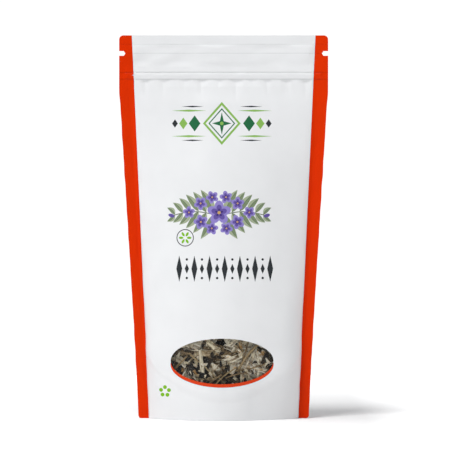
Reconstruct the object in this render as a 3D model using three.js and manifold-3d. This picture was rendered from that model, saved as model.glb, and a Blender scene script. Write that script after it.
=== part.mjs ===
// A sealed stand-up pouch of dried sage leaves.
// Two film panels are sealed to each other down both sides and across the top. A folded film
// gusset spreads them apart at the bottom, so the pouch stands on the rim of its own skirt.
// A press-to-close zipper lies inside, under the top seal. An oval window in the front panel,
// closed by a clear film, shows the heap of cut leaves and stems inside.
//
// The frame is in millimetres, with +Z up and the front facing -Y. The origin is on the floor,
// at the middle of the footprint.

import * as THREE from "three";
import { mergeVertices } from "three/addons/utils/BufferGeometryUtils.js";
import Module from "manifold-3d";

const wasm = await Module();
wasm.setup();

// Driving dimensions of the pouch
const FLAT_WIDTH = 150; // side to side, laid flat
const HEIGHT = 275; // standing
const SEAL = 6; // width of each side seal
const SEAL_RAMP = 5; // film that turns from the bulge into the flat seal
const FILM = 0.5; // film thickness
const GAP = 0.3; // clearance kept between films that touch
const GUSSET = 45; // flat depth of each half of the bottom gusset
const CORNER_TOP = 3; // radius of the top corners
const CORNER_BOTTOM = 2; // radius of the bottom corners

// How far the filled pouch bulges, as the film's slope beside the seal, in radians
const BULGE_ANGLE = 1.215; // at the floor
const BULGE_END = 240; // height where the two panels meet again
const BULGE_FADE = 16; // height over which they close
const BELLY = 1.2; // the contents push the film out this far above the gusset seal
const BELLY_RISE = 9; // height over which that starts
const BELLY_FADE_START = 60;
const BELLY_FADE = 120;
const ROOM_CLOSE_SIDE = 6; // height over which the room for the gusset's film closes
const ROOM_CLOSE_MIDDLE = 90;

// Tear notches, one in each side seal
const NOTCH_HEIGHT = 262;
const NOTCH_DEPTH = 4.5;
const NOTCH_OPENING = 3.4;
const NOTCH_POINT = 1.2; // length of its pointed end

// Zipper
const ZIP_CENTRE = 245.5;
const ZIP_TAPE = 6; // height of each welded tape
const ZIP_HALF = 1.2; // half the closed zipper's thickness
const ZIP_LENGTH = 139;
const ZIP_BAND = 3.1; // half the height of the film's raised band
const ZIP_BAND_FADE = 2.9;
const ZIP_END_START = 72; // the raised band ends between here and the pouch's edge

// Window
const WINDOW_HALF_WIDTH = 36.7;
const WINDOW_HALF_HEIGHT = 16.1;
const WINDOW_CENTRE = 42;
const WINDOW_LAP = 5; // clear film sealed behind the panel round the window
const PATCH_REACH = 56; // the clear film's grid reaches this far along the panel, half as far up

// Contents
const HEAP_TOP = 174;
const HEAP_DOME = 10; // how much lower the heap is at 60 mm from the middle
const CORE_INSET = 7; // the heap's smaller core lies this far inside the film
const RELIEF_LEVEL = 3.6; // height of the leaves that cover the core as relief
const RELIEF_PITCH = 12;
const LEAF_THICKNESS = 0.8;
const STEM_THICKNESS = 1.7;
const LEAF_ROOT = 8.6; // depth below the film where a blade's ends are sunk in the core
const BLADE_CLEAR = 2; // least depth of a blade below the film's outer face
const BLADE_REACH = 54; // no blade reaches further along the film than this
const SEED = 20817;

const HALF_WIDTH = FLAT_WIDTH / 2;
const HALF_SPAN = HALF_WIDTH - SEAL; // film from the middle to the side seal
const LAYER = FILM + GAP; // one film and the clearance behind it
const FAR = 200; // reach of the cutting tools

// Grid lines shared by every film, so that their facets stay parallel
const HALF_COLUMNS = [10, 20, 30, 40, 49, 57, 62.5, 65.5, 67.5, 69, 72, 75];
const COLUMNS = [...HALF_COLUMNS.map((d) => -d).reverse(), 0, ...HALF_COLUMNS];
const ROWS = [
  0, 10, 20, 30, 40, 47, 54, 68, 88, 112, 138, 164, 190, 210, 224, 233, 239.5,
  ZIP_CENTRE - ZIP_BAND, ZIP_CENTRE + ZIP_BAND, ZIP_CENTRE + ZIP_BAND + ZIP_BAND_FADE, HEIGHT,
];

function smooth(t) {
  const x = THREE.MathUtils.clamp(t, 0, 1);
  return x * x * (3 - 2 * x);
}

// Evenly spaced values from low to high, about a pitch apart.
function steps(low, high, pitch) {
  const count = Math.round((high - low) / pitch);
  return Array.from({ length: count + 1 }, (_, i) => THREE.MathUtils.lerp(low, high, i / count));
}

// The film's slope beside the seal falls from the floor to the zipper.
function bulgeAngle(z) {
  if (z >= BULGE_END) return 0;
  const fall = (1 - (z / (BULGE_END + 3)) ** 1.15) ** 0.57;
  return BULGE_ANGLE * fall * smooth((BULGE_END - z) / BULGE_FADE);
}

// Slope of the film at a distance along it from the middle: a round arc that turns flat
// just before the side seal.
function slopeAt(distance, angle) {
  if (distance >= HALF_SPAN) return 0;
  const ramp = 1 - smooth((distance - (HALF_SPAN - SEAL_RAMP)) / SEAL_RAMP);
  return angle * (distance / HALF_SPAN) * ramp;
}

// One horizontal section of a panel: the film keeps its length, so its half width and its
// bulge both come from summing the slope along it.
const STEP = 0.5;
const sections = new Map();
function sectionAt(z) {
  if (sections.has(z)) return sections.get(z);
  const angle = bulgeAngle(z);
  const across = [0];
  const fallen = [0];
  for (let i = 0; i < HALF_SPAN / STEP; i++) {
    const slope = slopeAt((i + 0.5) * STEP, angle);
    across.push(across[i] + STEP * Math.cos(slope));
    fallen.push(fallen[i] + STEP * Math.sin(slope));
  }
  const made = { angle, across, fallen };
  sections.set(z, made);
  return made;
}

function between(list, distance) {
  const i = Math.min(Math.floor(distance / STEP), list.length - 2);
  return THREE.MathUtils.lerp(list[i], list[i + 1], distance / STEP - i);
}

// How far the bulge stands out at a distance along the film from the middle.
function bulgeAt(distance, z) {
  const { fallen } = sectionAt(z);
  return fallen.at(-1) - between(fallen, Math.min(distance, HALF_SPAN));
}

// Height of the curved gusset seal. The open gusset is taut from panel to panel, so the seal
// is lowest where the pouch is deepest.
const ARC_SECTION = 20; // height of the section that the seal's curve follows
function sealArc(distance) {
  return GUSSET - bulgeAt(distance, ARC_SECTION);
}

// From 0 over the middle of the pouch to 1 in the side seals.
function nearSide(along) {
  return smooth((along - 50) / 18);
}

// Below the gusset seal the panel makes room for the gusset's own film. That room closes
// quickly in the side seals and slowly in the middle.
function gussetRoom(along, z) {
  const closing = THREE.MathUtils.lerp(ROOM_CLOSE_MIDDLE, ROOM_CLOSE_SIDE, nearSide(along));
  return LAYER * (1 - smooth((z - sealArc(along) - 2) / closing));
}

// The film stands out over the closed zipper and comes back to the seal beside it.
function zipRise(along, z) {
  const band = 1 - smooth((Math.abs(z - ZIP_CENTRE) - ZIP_BAND) / ZIP_BAND_FADE);
  const end = 1 - smooth((along - ZIP_END_START) / (HALF_WIDTH - ZIP_END_START));
  return (ZIP_HALF + GAP / 2) * band * end;
}

// The contents push the film out above the gusset seal.
function bellyRise(along, z) {
  const rise = smooth((z - sealArc(along)) / BELLY_RISE) * (1 - nearSide(along));
  return BELLY * rise * (1 - smooth((z - BELLY_FADE_START) / BELLY_FADE));
}

// A point of the back panel at a signed distance along the film from the middle, a height,
// and a depth inside the panel's outer face. The front panel is its mirror image.
function filmPoint(distance, z, inset) {
  const along = Math.abs(distance);
  const { angle, across } = sectionAt(z);
  const slope = slopeAt(along, angle);
  const x = between(across, Math.min(along, HALF_SPAN)) + Math.max(along - HALF_SPAN, 0);
  const rise = bulgeAt(along, z) + gussetRoom(along, z) + zipRise(along, z) + bellyRise(along, z);
  return {
    x: Math.sign(distance) * (x - inset * Math.sin(slope)),
    y: GAP / 2 + FILM + rise - inset * Math.cos(slope),
  };
}

// Solids

// A closed body from two skins over one grid of columns and rows.
function sheetGeometry(columns, rows, outer, inner) {
  const positions = [];
  for (const skin of [outer, inner])
    for (const row of rows) for (const column of columns) positions.push(...skin(column, row));
  const width = columns.length;
  const height = rows.length;
  const at = (layer, i, j) => (layer * height + j) * width + i;
  const index = [];
  const quad = (a, b, c, d) => index.push(a, b, c, a, c, d);
  for (let j = 0; j < height - 1; j++)
    for (let i = 0; i < width - 1; i++) {
      quad(at(0, i, j), at(0, i + 1, j), at(0, i + 1, j + 1), at(0, i, j + 1));
      quad(at(1, i, j), at(1, i, j + 1), at(1, i + 1, j + 1), at(1, i + 1, j));
    }
  for (let i = 0; i < width - 1; i++) {
    quad(at(0, i, 0), at(1, i, 0), at(1, i + 1, 0), at(0, i + 1, 0));
    quad(at(0, i, height - 1), at(0, i + 1, height - 1), at(1, i + 1, height - 1), at(1, i, height - 1));
  }
  for (let j = 0; j < height - 1; j++) {
    quad(at(0, 0, j), at(0, 0, j + 1), at(1, 0, j + 1), at(1, 0, j));
    quad(at(0, width - 1, j), at(1, width - 1, j), at(1, width - 1, j + 1), at(0, width - 1, j + 1));
  }
  return new THREE.BufferGeometry()
    .setAttribute("position", new THREE.Float32BufferAttribute(positions, 3))
    .setIndex(index);
}

// A closed geometry as a solid, turned to face outwards.
function solidFrom(geometry) {
  const bare = new THREE.BufferGeometry().setAttribute("position", geometry.getAttribute("position"));
  bare.setIndex(geometry.index);
  const merged = mergeVertices(bare, 1e-4);
  const triVerts = new Uint32Array(merged.index.array);
  const vertProperties = merged.attributes.position.array;
  const made = new wasm.Manifold(new wasm.Mesh({ numProp: 3, vertProperties, triVerts }));
  if (made.volume() > 0) return made;
  for (let i = 0; i < triVerts.length; i += 3)
    [triVerts[i + 1], triVerts[i + 2]] = [triVerts[i + 2], triVerts[i + 1]];
  return new wasm.Manifold(new wasm.Mesh({ numProp: 3, vertProperties, triVerts }));
}

function geometryFrom(solid) {
  const mesh = solid.getMesh();
  return new THREE.BufferGeometry()
    .setAttribute("position", new THREE.Float32BufferAttribute(mesh.vertProperties, 3))
    .setIndex([...mesh.triVerts]);
}

// A shape drawn in X and Z, run through the whole pouch from front to back.
function throughCut(shape, curveSegments = 6) {
  const geometry = new THREE.ExtrudeGeometry(shape, { depth: 2 * FAR, bevelEnabled: false, curveSegments });
  geometry.rotateX(Math.PI / 2).translate(0, FAR, 0);
  return solidFrom(geometry);
}

function ellipse(halfWidth, halfHeight) {
  return new THREE.Shape().absellipse(0, WINDOW_CENTRE, halfWidth, halfHeight, 0, 2 * Math.PI);
}

// What is left outside a rounded corner. across and up say which way the corner points.
function cornerWaste(x, z, radius, across, up) {
  const shape = new THREE.Shape();
  shape.moveTo(x + across, z + up);
  for (const turn of steps(0, Math.PI / 2, Math.PI / 8)) {
    shape.lineTo(x - across * radius * (1 - Math.sin(turn)), z - up * radius * (1 - Math.cos(turn)));
  }
  return throughCut(shape);
}

function notchWaste(side) {
  const half = NOTCH_OPENING / 2;
  const shape = new THREE.Shape();
  shape.moveTo(side * (HALF_WIDTH + 2), NOTCH_HEIGHT - half);
  shape.lineTo(side * (HALF_WIDTH + 2), NOTCH_HEIGHT + half);
  shape.lineTo(side * (HALF_WIDTH - NOTCH_DEPTH + NOTCH_POINT), NOTCH_HEIGHT + half);
  shape.lineTo(side * (HALF_WIDTH - NOTCH_DEPTH), NOTCH_HEIGHT);
  shape.lineTo(side * (HALF_WIDTH - NOTCH_DEPTH + NOTCH_POINT), NOTCH_HEIGHT - half);
  return throughCut(shape);
}

// The rounded corners and tear notches, cut through all the films at once.
function trimWaste() {
  const floorWidth = filmPoint(HALF_WIDTH, 0, 0).x;
  const cuts = [];
  for (const side of [-1, 1]) {
    cuts.push(cornerWaste(side * HALF_WIDTH, HEIGHT, CORNER_TOP, side, 1));
    cuts.push(cornerWaste(side * floorWidth, 0, CORNER_BOTTOM, side, -1));
    cuts.push(notchWaste(side));
  }
  return wasm.Manifold.union(cuts);
}

// Films

function panelSolid(side) {
  const skin = (inset) => (distance, z) => {
    const p = filmPoint(distance, z, inset);
    return [p.x, side * p.y, z];
  };
  return solidFrom(sheetGeometry(COLUMNS, ROWS, skin(0), skin(FILM))).subtract(trimWaste());
}

function windowFilmSolid() {
  const lap = [WINDOW_HALF_WIDTH + WINDOW_LAP, WINDOW_HALF_HEIGHT + WINDOW_LAP];
  const columns = COLUMNS.filter((d) => Math.abs(d) < PATCH_REACH);
  const rows = ROWS.filter((z) => Math.abs(z - WINDOW_CENTRE) < PATCH_REACH / 2);
  const skin = (inset) => (distance, z) => {
    const p = filmPoint(distance, z, inset);
    return [p.x, -p.y, z];
  };
  const patch = solidFrom(sheetGeometry(columns, rows, skin(LAYER), skin(LAYER + FILM)));
  return patch.intersect(throughCut(ellipse(...lap), 8));
}

// The gusset is one film: up the inside of the front skirt, over to the back one and down.
// Each column of it is a path from rim to rim.
const GUSSET_LEG = [0, 0.5, 1];
const GUSSET_BRIDGE = [1, 0.5, 0, -0.5, -1];
const GUSSET_BEND = 3.5;
const GUSSET_SAG = 1;
const GUSSET_PATH = [
  ...GUSSET_LEG.map((part) => ({ kind: "leg", side: -1, part })),
  { kind: "bend", side: -1 },
  ...GUSSET_BRIDGE.map((part) => ({ kind: "bridge", side: -1, part })),
  { kind: "bend", side: 1 },
  ...GUSSET_LEG.toReversed().map((part) => ({ kind: "leg", side: 1, part })),
];

function gussetPoint(distance, stop, outward) {
  const top = sealArc(Math.abs(distance));
  const inset = outward ? LAYER : LAYER + FILM;
  const level = top + (outward ? FILM / 2 : -FILM / 2);
  const hollow = filmPoint(distance, top, LAYER + FILM).y;
  const bend = Math.min(GUSSET_BEND, 0.7 * hollow);
  const legTop = top - FILM / 2 - bend;
  const bridgeX = filmPoint(distance, top, LAYER + FILM / 2).x;
  const bridgeEnd = hollow - bend;
  if (stop.kind === "leg") {
    const p = filmPoint(distance, stop.part * legTop, inset);
    return [p.x, stop.side * p.y, stop.part * legTop];
  }
  if (stop.kind === "bridge") {
    const sag = GUSSET_SAG * (1 - stop.part ** 2) * smooth(hollow / 30);
    return [bridgeX, -stop.part * stop.side * -bridgeEnd, level - sag];
  }
  const leg = filmPoint(distance, legTop, inset);
  const curve = new THREE.QuadraticBezierCurve3(
    new THREE.Vector3(leg.x, leg.y, legTop),
    new THREE.Vector3((leg.x + bridgeX) / 2, leg.y, level),
    new THREE.Vector3(bridgeX, bridgeEnd, level),
  );
  const p = curve.getPoint(0.5);
  return [p.x, stop.side * p.y, p.z];
}

function gussetSolid() {
  const skin = (outward) => (distance, stop) => gussetPoint(distance, stop, outward);
  return solidFrom(sheetGeometry(COLUMNS, GUSSET_PATH, skin(true), skin(false))).subtract(trimWaste());
}

// Zipper, drawn in Y and Z round its middle and run along X. A hooked rib on the back tape
// snaps into a channel on the front tape.
function zipperStrip(points) {
  const shape = new THREE.Shape(points.map(([y, z]) => new THREE.Vector2(y, z)));
  const geometry = new THREE.ExtrudeGeometry(shape, { depth: ZIP_LENGTH, bevelEnabled: false });
  geometry.rotateZ(Math.PI / 2).rotateY(Math.PI / 2);
  return geometry.translate(-ZIP_LENGTH / 2, 0, ZIP_CENTRE);
}

const TAPE_FACE = ZIP_HALF - FILM; // the tape's face, from the middle of the closed zipper
const RIB_STEM = 0.45;
const RIB_HEAD = 0.8;
const HOOK_INSIDE = 1.2;
const HOOK_OUTSIDE = 1.8;

function zipperRib() {
  const half = ZIP_TAPE / 2;
  return zipperStrip([
    [ZIP_HALF, -half], [ZIP_HALF, half], [TAPE_FACE, half], [TAPE_FACE, RIB_STEM],
    [-0.1, RIB_STEM], [-0.1, RIB_HEAD], [-0.4, RIB_STEM], [-0.4, -RIB_STEM],
    [-0.1, -RIB_HEAD], [-0.1, -RIB_STEM], [TAPE_FACE, -RIB_STEM], [TAPE_FACE, -half],
  ]);
}

function zipperChannel() {
  const half = ZIP_TAPE / 2;
  return zipperStrip([
    [-ZIP_HALF, -half], [-TAPE_FACE, -half], [-TAPE_FACE, -HOOK_OUTSIDE], [0.4, -HOOK_OUTSIDE],
    [0.4, -RIB_HEAD], [0.15, -RIB_HEAD], [0.15, -HOOK_INSIDE], [-TAPE_FACE, -HOOK_INSIDE],
    [-TAPE_FACE, HOOK_INSIDE], [0.15, HOOK_INSIDE], [0.15, RIB_HEAD], [0.4, RIB_HEAD],
    [0.4, HOOK_OUTSIDE], [-TAPE_FACE, HOOK_OUTSIDE], [-TAPE_FACE, half], [-ZIP_HALF, half],
  ]);
}

// Contents

// A seeded random number from 0 to 1.
let state = SEED;
function random() {
  state = (state * 1664525 + 1013904223) % 4294967296;
  return state / 4294967296;
}
const spread = (low, high) => low + (high - low) * random();

// The heap's core is covered with cut leaves as relief: ovals that lie over each other at random
// tilts. The relief at a point is the height of the highest one there.
function leafRelief(reach, low, high, pitch) {
  const ovals = [];
  for (const v of steps(low, high, pitch))
    for (const u of steps(-reach, reach, pitch)) {
      const turn = spread(0, Math.PI);
      ovals.push({
        u: u + spread(-0.4, 0.4) * pitch,
        v: v + spread(-0.4, 0.4) * pitch,
        cos: Math.cos(turn),
        sin: Math.sin(turn),
        long: spread(0.7, 1.2) * pitch,
        wide: spread(0.35, 0.6) * pitch,
        level: spread(0.5, RELIEF_LEVEL),
        tilt: spread(-0.3, 0.3),
      });
    }
  return (u, v) => {
    let height = 0;
    for (const oval of ovals) {
      const a = (u - oval.u) * oval.cos + (v - oval.v) * oval.sin;
      const b = (v - oval.v) * oval.cos - (u - oval.u) * oval.sin;
      if ((a / oval.long) ** 2 + (b / oval.wide) ** 2 > 1) continue;
      height = Math.max(height, oval.level + oval.tilt * b);
    }
    return Math.min(height, RELIEF_LEVEL);
  };
}

// The core on one side: its surface, with its relief, and everything behind it.
function coreHalf(side) {
  const relief = leafRelief(60, 20, HEAP_TOP, RELIEF_PITCH);
  const face = (distance, z) => {
    const p = filmPoint(distance, z, CORE_INSET - relief(distance, z));
    return [p.x, side * p.y, z];
  };
  const behind = (distance, z) => [filmPoint(distance, z, CORE_INSET).x, -side * FAR, z];
  const columns = [-75, ...steps(-66, 66, 8.25), 75];
  return solidFrom(sheetGeometry(columns, steps(0, 190, 10), face, behind));
}

// Everything under the heap: the gusset and a clearance above it.
function underHeap(clearance) {
  const shape = new THREE.Shape();
  shape.moveTo(-FAR, -FAR);
  shape.lineTo(-FAR, GUSSET + clearance);
  for (const d of COLUMNS) {
    const top = sealArc(Math.abs(d));
    shape.lineTo(filmPoint(d, top, LAYER).x, top + clearance);
  }
  shape.lineTo(FAR, GUSSET + clearance);
  shape.lineTo(FAR, -FAR);
  return throughCut(shape);
}

function heapTop(x) {
  return HEAP_TOP - HEAP_DOME * (x / 60) ** 2;
}

// Everything above the heap, whose top is domed and has the same relief.
function aboveHeap() {
  const relief = leafRelief(60, -30, 30, RELIEF_PITCH);
  const surface = (x, y) => [x, y, heapTop(x) + relief(x, y) - RELIEF_LEVEL];
  const ceiling = (x, y) => [x, y, 2 * FAR];
  return solidFrom(sheetGeometry(steps(-72, 72, 7.2), steps(-36, 36, 7.2), surface, ceiling));
}

function coreSolid() {
  return coreHalf(1).intersect(coreHalf(-1)).subtract(underHeap(6)).subtract(aboveHeap());
}

// A cut leaf or a stem lies along the film as an arched blade, with both ends sunk in the core.
// Its stations run along its length, each with a share of the half width.
const LEAF_STATIONS = [
  [0, 0.6], [0.3, 1], [0.68, 0.85], [1, 0.15],
];
const LEAF_EDGES = [-1, 1];
function bladeSolid({ side, distance, z, turn, length, halfWidth, depth, thickness, tilt }) {
  const along = [Math.cos(turn), Math.sin(turn)];
  const stations = LEAF_STATIONS.map(([part, share]) => ({
    run: (part - 0.5) * length,
    half: halfWidth * share * spread(0.8, 1.15),
    depth: depth + (LEAF_ROOT - depth) * Math.abs(2 * part - 1) ** 2.6,
  }));
  const skin = (extra) => (edge, station) => {
    const d = distance + station.run * along[0] - edge * station.half * along[1];
    const height = z + station.run * along[1] + edge * station.half * along[0];
    const inset = station.depth + extra + tilt * edge * station.half;
    const p = filmPoint(THREE.MathUtils.clamp(d, -BLADE_REACH, BLADE_REACH), height, inset);
    return [p.x, side * p.y, height];
  };
  return solidFrom(sheetGeometry(LEAF_EDGES, stations, skin(0), skin(thickness)));
}

// Fields of leaves: the window's stretch of the heap has more and smaller ones.
const LEAF_FIELDS = [
  { side: -1, reach: 42, low: 22, high: 62, across: 9.5, up: 6.6, length: [17, 30], half: [2.2, 4.2] },
  { side: -1, reach: 42, low: 88, high: 146, across: 28, up: 29, length: [28, 38], half: [5, 8] },
  { side: 1, reach: 42, low: 46, high: 146, across: 28, up: 25, length: [28, 38], half: [5, 8] },
];
const STEM_SHARE = 0.14; // share of the pieces that are stems
const STEM_HALF_WIDTH = 0.9;

function leafFragments() {
  const made = [];
  for (const field of LEAF_FIELDS)
    for (const v of steps(field.low, field.high, field.up))
      for (const u of steps(-field.reach, field.reach, field.across)) {
        const stem = random() < STEM_SHARE;
        const distance = u + spread(-0.3, 0.3) * field.across;
        const z = v + spread(-0.3, 0.3) * field.up;
        if (z < sealArc(Math.abs(distance)) + 8) continue;
        const halfWidth = stem ? STEM_HALF_WIDTH : spread(...field.half);
        const tilt = stem ? 0 : spread(-0.35, 0.35);
        made.push(
          bladeSolid({
            side: field.side,
            distance,
            z,
            turn: spread(0, 2 * Math.PI),
            length: spread(...field.length) * (stem ? 1.3 : 1),
            halfWidth,
            depth: Math.max(spread(2.2, 4.2), BLADE_CLEAR + Math.abs(tilt) * halfWidth * 1.15),
            thickness: stem ? STEM_THICKNESS : LEAF_THICKNESS,
            tilt,
          }),
        );
      }
  return made;
}

// Leaves that lie on top of the heap, as arched blades with both ends in the core.
function topLeaves() {
  return steps(-36, 36, 12).map((x) => {
    const turn = spread(-1, 1) * (1.4 - Math.abs(x) / 30);
    const half = spread(4, 6);
    const length = spread(16, 24);
    const skin = (drop) => (edge, [part, share]) => {
      const run = (part - 0.5) * length;
      const side = edge * half * share;
      const arch = 3 - 8 * (2 * part - 1) ** 2;
      return [
        x + run * Math.cos(turn) - side * Math.sin(turn),
        run * Math.sin(turn) + side * Math.cos(turn),
        heapTop(x) + arch - drop,
      ];
    };
    return solidFrom(sheetGeometry(LEAF_EDGES, LEAF_STATIONS, skin(0), skin(LEAF_THICKNESS)));
  });
}

function sageSolid() {
  const heap = wasm.Manifold.union([coreSolid(), ...leafFragments(), ...topLeaves()]);
  // A scrap that the trimming leaves loose is dropped.
  const pieces = heap.subtract(underHeap(1.2)).decompose();
  return pieces.reduce((a, b) => (a.volume() > b.volume() ? a : b));
}

// The finished pouch

const FINISHES = {
  film: { color: 0xeeeeef, roughness: 0.38, metalness: 0 },
  gusset: { color: 0xe6e7e8, roughness: 0.42, metalness: 0 },
  window: { color: 0xdfe4e2, roughness: 0.08, metalness: 0, transparent: true, opacity: 0.25 },
  zipper: { color: 0xe9edf0, roughness: 0.45, metalness: 0 },
  sage: { color: 0x77705a, roughness: 0.9, metalness: 0 },
};

const pouch = new THREE.Group();

function addPiece(name, geometry, finish) {
  const mesh = new THREE.Mesh(geometry, new THREE.MeshStandardMaterial(FINISHES[finish]));
  mesh.name = name;
  pouch.add(mesh);
}

const windowCut = throughCut(ellipse(WINDOW_HALF_WIDTH, WINDOW_HALF_HEIGHT), 10);
const frontOnly = windowCut.intersect(
  solidFrom(new THREE.BoxGeometry(2 * FAR, FAR, 2 * FAR).translate(0, -FAR / 2, 0)),
);
addPiece("front_panel", geometryFrom(panelSolid(-1).subtract(frontOnly)), "film");
addPiece("back_panel", geometryFrom(panelSolid(1)), "film");
addPiece("bottom_gusset", geometryFrom(gussetSolid()), "gusset");
addPiece("window_film", geometryFrom(windowFilmSolid()), "window");
addPiece("zipper_channel", zipperChannel(), "zipper");
addPiece("zipper_rib", zipperRib(), "zipper");
addPiece("dried_sage", geometryFrom(sageSolid()), "sage");

export default pouch;
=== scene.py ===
# The looks of a sealed stand-up pouch of dried sage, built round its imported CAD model.
#
# Shapes are worked out in millimetres, from the same film formula as the CAD solids, and made
# into meshes in metres. A place on a film is its distance along the film from the pouch's
# middle line, to the right positive, and its height. The front faces -Y.

import math
from functools import partial

import bpy
import numpy as np
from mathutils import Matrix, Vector, noise
from mathutils.geometry import delaunay_2d_cdt


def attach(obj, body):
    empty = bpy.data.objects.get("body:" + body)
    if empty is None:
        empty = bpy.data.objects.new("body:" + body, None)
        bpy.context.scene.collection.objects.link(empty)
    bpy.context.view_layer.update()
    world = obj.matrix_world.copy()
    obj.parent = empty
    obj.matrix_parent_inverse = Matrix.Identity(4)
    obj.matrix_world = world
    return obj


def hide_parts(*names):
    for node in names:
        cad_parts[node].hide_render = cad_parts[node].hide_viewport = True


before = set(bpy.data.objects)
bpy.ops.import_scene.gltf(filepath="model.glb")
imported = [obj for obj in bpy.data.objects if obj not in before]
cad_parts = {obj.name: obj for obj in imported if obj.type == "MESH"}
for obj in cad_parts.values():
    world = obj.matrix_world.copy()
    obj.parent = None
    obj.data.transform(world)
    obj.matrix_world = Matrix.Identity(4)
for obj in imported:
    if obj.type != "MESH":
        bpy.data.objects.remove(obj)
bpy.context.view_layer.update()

MM = 0.001
FRONT, BACK = -1, 1

# Camera: level, in front of the pouch
CAMERA_PLACE = (1.7, -2430.0, 138.0)
VIEW_WIDTH = 324.9  # what the photograph spans at the pouch's middle plane

# The pouch, with the CAD model's names and values
HALF_WIDTH = 75.0
HEIGHT = 275.0
SEAL_RAMP = 5.0
HALF_SPAN = HALF_WIDTH - 6.0  # film from the middle to the side seal
FILM = 0.5
GAP = 0.3
LAYER = FILM + GAP
GUSSET = 45.0
CORNER_TOP = 3.0
CORNER_BOTTOM = 2.0
BULGE_ANGLE = 1.215
BULGE_END = 240.0
BULGE_FADE = 16.0
ROOM_CLOSE_SIDE = 6.0
ROOM_CLOSE_MIDDLE = 90.0
ARC_SECTION = 20.0
NOTCH_HEIGHT = 262.0
NOTCH_DEPTH = 4.5
NOTCH_HALF = 1.7
NOTCH_POINT = 1.2
WINDOW_HALF_WIDTH = 36.7
WINDOW_HALF_HEIGHT = 16.1
WINDOW_CENTRE = 42.0
WINDOW_ASIDE = -1.1
WINDOW_LAP = 5.0
HEAP_TOP = 174.0
HEAP_DOME = 10.0

# The films as they look: thinner than the CAD solids and pinched together in the seals
SKIN = 0.25
SEAL_START, SEAL_BLEND = 61.0, 7.0  # the film turns into the side seal from here, over this reach
SIDE_START, SIDE_BLEND = 50.0, 18.0  # and the gusset's curved seal nears the side seal from here
SEAL_PINCH = 0.32
LOWER_PINCH = 0.5  # more of it where the gusset's two layers lie in the seal
CLEAR_OUTER, CLEAR_INNER = 0.28, 0.4  # the clear film's skins, inside the panel's outer face


# The film formula


def smooth(t):
    x = np.clip(t, 0.0, 1.0)
    return x * x * (3 - 2 * x)


def lerp(a, b, t):
    return a + (b - a) * t


def bulge_angle(z):
    """The film's slope beside the side seal, in radians."""
    fall = np.clip(1 - (np.clip(z, 0, None) / (BULGE_END + 3)) ** 1.15, 0, 1) ** 0.57
    return BULGE_ANGLE * fall * smooth((BULGE_END - z) / BULGE_FADE)


TABLE_STEP = 0.25
BISECTIONS = 22
TABLE_ALONG = np.arange(0, HALF_SPAN + TABLE_STEP / 2, TABLE_STEP)
TABLE_ANGLES = np.linspace(0, 1.3, 131)


def slope_share(along):
    ramp = 1 - smooth((along - (HALF_SPAN - SEAL_RAMP)) / SEAL_RAMP)
    return along / HALF_SPAN * ramp


def section_table(component):
    """The film's way across, or its fall, summed along it for each bulge angle."""
    slopes = TABLE_ANGLES[:, None] * slope_share(TABLE_ALONG[:-1] + TABLE_STEP / 2)
    start = np.zeros((len(TABLE_ANGLES), 1))
    return np.hstack([start, np.cumsum(component(slopes), axis=1) * TABLE_STEP])


ACROSS = section_table(np.cos)
FALLEN = section_table(np.sin)


def lookup(table, along, angle):
    i = np.clip(along / TABLE_STEP, 0, table.shape[1] - 1.001)
    j = np.clip(angle / TABLE_ANGLES[1], 0, table.shape[0] - 1.001)
    i0, j0 = i.astype(int), j.astype(int)
    low = lerp(table[j0, i0], table[j0, i0 + 1], i - i0)
    high = lerp(table[j0 + 1, i0], table[j0 + 1, i0 + 1], i - i0)
    return lerp(low, high, j - j0)


def bulge_at(along, z):
    angle = bulge_angle(z)
    edge = lookup(FALLEN, np.full_like(angle, HALF_SPAN), angle)
    return edge - lookup(FALLEN, np.minimum(along, HALF_SPAN), angle)


def seal_arc(along):
    """Height of the curved gusset seal."""
    return GUSSET - bulge_at(along, np.full_like(along, ARC_SECTION))


def near_side(along):
    return smooth((along - SIDE_START) / SIDE_BLEND)


def film_across(along, z):
    """The front view's x, without its sign, at a distance along the film."""
    return lookup(ACROSS, np.minimum(along, HALF_SPAN), bulge_angle(z)) + np.maximum(along - HALF_SPAN, 0)


def film_distance(x, z):
    """The signed distance along the film of a place in the front view."""
    x = np.asarray(x, float)
    z = np.broadcast_to(np.asarray(z, float), x.shape)
    low = np.zeros_like(x)
    high = np.full_like(x, HALF_WIDTH * 1.3)
    for _ in range(BISECTIONS):
        middle = (low + high) / 2
        short = film_across(middle, z) < np.abs(x)
        low = np.where(short, middle, low)
        high = np.where(short, high, middle)
    return np.sign(x) * (low + high) / 2


# Creases, ridges and waves of the film

SLACK = 0.45  # the film's bulge is flatter towards the zipper
SLACK_START = 172.0
SLACK_REACH = 50.0
# Long soft swellings: height, the reach over which they rise, and the reach over which they fall
SHOULDER = (1.3, 6.0, 13.0)  # right under the zipper, where the bulge starts
ARC_ROLL = (1.5, 7.0, 17.0)  # over the gusset's curved seal
SEAL_ROLL = (2.4, 5.0, 24.0)  # beside the side seals, the more the more the film bulges
SKIRT_LEAN = 0.08  # the skirt leans in under the curved seal, by at most SKIRT_LIMIT
SKIRT_LIMIT = 4.0
SEAL_CURL = 0.12  # the side seals curl forward
SEAL_CRUMPLE = 0.28
HEAD_STREAKS = 2.2  # slanting waves between the zipper and the top seal
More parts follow.
